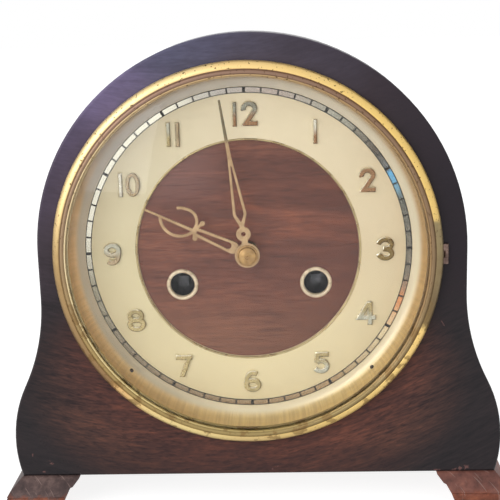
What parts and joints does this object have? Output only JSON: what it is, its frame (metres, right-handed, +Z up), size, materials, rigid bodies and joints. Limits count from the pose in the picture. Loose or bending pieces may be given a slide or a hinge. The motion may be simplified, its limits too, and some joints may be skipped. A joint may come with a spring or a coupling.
{
  "type": "mantel clock",
  "caption": "Arched wooden mantel clock with flared sides on splayed feet, a hinged glazed bezel over a dished dial, and a key-wound striking movement with pendulum",
  "frame": {"origin": "centre of the floor under the clock, at the middle of its width and depth", "axes": "+Z up, the dial faces -Y, +X to the right as seen from the front"},
  "size_m": [0.2236, 0.1278, 0.2089],
  "materials": {
    "panel_veneer": "dark polished walnut veneer, gloss lacquer",
    "case_veneer": "dark polished walnut veneer over ply",
    "foot_wood": "stained hardwood, satin",
    "board_ply": "stained plywood, matt",
    "bezel_brass": "lacquered brass, pitted",
    "bezel_glass": "clear domed glass",
    "dial_champagne": "champagne satin, polished rim",
    "dial_wood": "grained brown centre, satin",
    "numeral_gilt": "polished gilt",
    "ferrule_brass": "pale polished brass",
    "hand_brass": "matt brass",
    "hardware_brass": "aged brass",
    "movement_brass": "milled brass",
    "movement_steel": "bright steel",
    "gong_iron": "black cast iron"
  },
  "bodies": {
    "case": {"front_panel": "panel_veneer", "case_shell": "case_veneer", "base_board": "board_ply", "back_panel": "board_ply", "foot_left": "foot_wood", "foot_right": "foot_wood", "door_hinge_leaves": "hardware_brass", "door_hinge_pins": "movement_steel", "dial_plate": "dial_champagne", "dial_centre": "dial_wood", "winding_ferrules": "ferrule_brass", "dial_posts": "movement_steel", "numerals": "numeral_gilt", "bezel_hinge_leaf": "bezel_brass", "bezel_hinge_pin": "movement_steel", "minute_stud": "movement_steel", "front_plate": "movement_brass", "back_plate": "movement_brass", "plate_pillars": "movement_steel", "click_studs": "movement_steel", "pendulum_cock": "movement_brass", "gong_block": "gong_iron", "gong_rods": "movement_steel"},
    "bezel": {"bezel_ring": "bezel_brass", "bezel_glass": "bezel_glass", "glass_retainer": "bezel_brass", "bezel_hinge_strap": "bezel_brass"},
    "back_door": {"back_door": "board_ply", "door_hinge_flaps": "hardware_brass", "door_knob": "hardware_brass"},
    "minute": {"minute_hand": "hand_brass", "hand_nut": "hand_brass", "cannon_pinion": "movement_brass"},
    "hour": {"hour_hand": "hand_brass", "hour_wheel": "movement_brass"},
    "minute_wheel": {"minute_wheel": "movement_brass"},
    "centre_wheel": {"centre_wheel": "movement_brass"},
    "intermediate_wheel": {"intermediate_wheel": "movement_brass"},
    "going_barrel": {"going_barrel": "movement_brass", "going_mainspring": "movement_steel"},
    "third_wheel": {"third_wheel": "movement_brass"},
    "fourth_wheel": {"fourth_wheel": "movement_brass"},
    "escape_wheel": {"escape_wheel": "movement_brass"},
    "going_winding": {"going_winding_arbor": "movement_steel"},
    "strike_winding": {"strike_winding_arbor": "movement_steel"},
    "going_click": {"going_click": "movement_steel"},
    "strike_click": {"strike_click": "movement_steel"},
    "strike_barrel": {"strike_barrel": "movement_brass", "strike_mainspring": "movement_steel"},
    "strike_second_wheel": {"strike_second_wheel": "movement_brass"},
    "pin_wheel": {"pin_wheel": "movement_brass"},
    "warning_wheel": {"warning_wheel": "movement_brass"},
    "fly": {"fly": "movement_brass"},
    "pendulum": {"anchor": "movement_steel", "suspension_spring": "movement_steel", "pendulum_rod": "movement_steel", "pendulum_bob": "movement_brass"},
    "rating_nut": {"rating_nut": "movement_brass"},
    "hammers": {"hammers": "movement_brass"}
  },
  "joints": [
    {"name": "bezel_hinge", "type": "hinge", "parent": "case", "child": "bezel", "pos_m": [0.0829, -0.0502, 0.1144], "axis": [0, 0, 1], "range_deg": [0, 110]},
    {"name": "back_door_hinge", "type": "hinge", "parent": "case", "child": "back_door", "pos_m": [0.06155, 0.05675, 0.0752], "axis": [0, 0, -1], "range_deg": [0, 110]},
    {"name": "minute_turn", "type": "hinge", "parent": "case", "child": "minute", "pos_m": [-0.0017, -0.0366, 0.1144], "axis": [0, 1, 0], "continuous": true},
    {"name": "hour_turn", "type": "hinge", "parent": "case", "child": "hour", "pos_m": [-0.0017, -0.0366, 0.1144], "axis": [0, 1, 0], "continuous": true},
    {"name": "minute_wheel_turn", "type": "hinge", "parent": "case", "child": "minute_wheel", "pos_m": [-0.0017, -0.0273, 0.1336], "axis": [0, 1, 0], "continuous": true},
    {"name": "fourth_wheel_turn", "type": "hinge", "parent": "case", "child": "fourth_wheel", "pos_m": [0.0043, -0.00535, 0.1421], "axis": [0, 1, 0], "continuous": true},
    {"name": "escape_wheel_turn", "type": "hinge", "parent": "case", "child": "escape_wheel", "pos_m": [-0.0017, -0.00535, 0.15249], "axis": [0, 1, 0], "continuous": true},
    {"name": "third_wheel_turn", "type": "hinge", "parent": "case", "child": "third_wheel", "pos_m": [-0.0067, -0.00535, 0.1319], "axis": [0, 1, 0], "continuous": true},
    {"name": "centre_wheel_turn", "type": "hinge", "parent": "case", "child": "centre_wheel", "pos_m": [-0.0017, -0.00535, 0.1144], "axis": [0, 1, 0], "continuous": true},
    {"name": "intermediate_wheel_turn", "type": "hinge", "parent": "case", "child": "intermediate_wheel", "pos_m": [0.01479, -0.00535, 0.12424], "axis": [0, 1, 0], "continuous": true},
    {"name": "going_barrel_turn", "type": "hinge", "parent": "case", "child": "going_barrel", "pos_m": [0.0277, -0.00535, 0.0994], "axis": [0, 1, 0], "continuous": true},
    {"name": "pin_wheel_turn", "type": "hinge", "parent": "case", "child": "pin_wheel", "pos_m": [-0.0257, -0.00535, 0.14413], "axis": [0, 1, 0], "continuous": true},
    {"name": "warning_wheel_turn", "type": "hinge", "parent": "case", "child": "warning_wheel", "pos_m": [-0.0397, -0.00535, 0.15341], "axis": [0, 1, 0], "continuous": true},
    {"name": "fly_turn", "type": "hinge", "parent": "case", "child": "fly", "pos_m": [-0.0357, -0.00535, 0.16473], "axis": [0, 1, 0], "continuous": true},
    {"name": "strike_second_wheel_turn", "type": "hinge", "parent": "case", "child": "strike_second_wheel", "pos_m": [-0.0347, -0.00535, 0.12717], "axis": [0, 1, 0], "continuous": true},
    {"name": "strike_barrel_turn", "type": "hinge", "parent": "case", "child": "strike_barrel", "pos_m": [-0.0311, -0.00535, 0.0994], "axis": [0, 1, 0], "continuous": true},
    {"name": "going_winding_turn", "type": "hinge", "parent": "case", "child": "going_winding", "pos_m": [0.0277, -0.00535, 0.0994], "axis": [0, 1, 0], "range_deg": [0, 2250]},
    {"name": "strike_winding_turn", "type": "hinge", "parent": "case", "child": "strike_winding", "pos_m": [-0.0311, -0.00535, 0.0994], "axis": [0, -1, 0], "range_deg": [0, 2250]},
    {"name": "going_click_lift", "type": "hinge", "parent": "case", "child": "going_click", "pos_m": [0.03014, -0.0231, 0.11319], "axis": [0, -1, 0], "range_deg": [0, 9], "stiffness_Nm_per_rad": 0.004},
    {"name": "strike_click_lift", "type": "hinge", "parent": "case", "child": "strike_click", "pos_m": [-0.03354, -0.0231, 0.11319], "axis": [0, 1, 0], "range_deg": [0, 9], "stiffness_Nm_per_rad": 0.004},
    {"name": "pendulum_swing", "type": "hinge", "parent": "case", "child": "pendulum", "pos_m": [-0.0017, 0.0189, 0.16409], "axis": [0, 1, 0], "range_deg": [-3, 3]},
    {"name": "rating_nut_turn", "type": "hinge", "parent": "pendulum", "child": "rating_nut", "pos_m": [-0.0017, 0.0189, 0.04609], "axis": [0, 0, 1], "range_deg": [-720, 720]},
    {"name": "hammer_lift", "type": "hinge", "parent": "case", "child": "hammers", "pos_m": [-0.0137, 0.0132, 0.0764], "axis": [0, 1, 0], "range_deg": [0, 10]}
  ],
  "couplings": [
    {"joint": "minute_wheel_turn", "follows": "minute_turn", "ratio": -0.33333},
    {"joint": "hour_turn", "follows": "minute_turn", "ratio": 0.083333},
    {"joint": "escape_wheel_turn", "follows": "fourth_wheel_turn", "ratio": -5},
    {"joint": "third_wheel_turn", "follows": "fourth_wheel_turn", "ratio": -0.19048},
    {"joint": "centre_wheel_turn", "follows": "fourth_wheel_turn", "ratio": 0.031746},
    {"joint": "intermediate_wheel_turn", "follows": "fourth_wheel_turn", "ratio": -0.0063492},
    {"joint": "going_barrel_turn", "follows": "fourth_wheel_turn", "ratio": 0.0010582},
    {"joint": "warning_wheel_turn", "follows": "pin_wheel_turn", "ratio": -5},
    {"joint": "fly_turn", "follows": "pin_wheel_turn", "ratio": 25},
    {"joint": "strike_second_wheel_turn", "follows": "pin_wheel_turn", "ratio": -0.2},
    {"joint": "strike_barrel_turn", "follows": "pin_wheel_turn", "ratio": 0.033333}
  ]
}
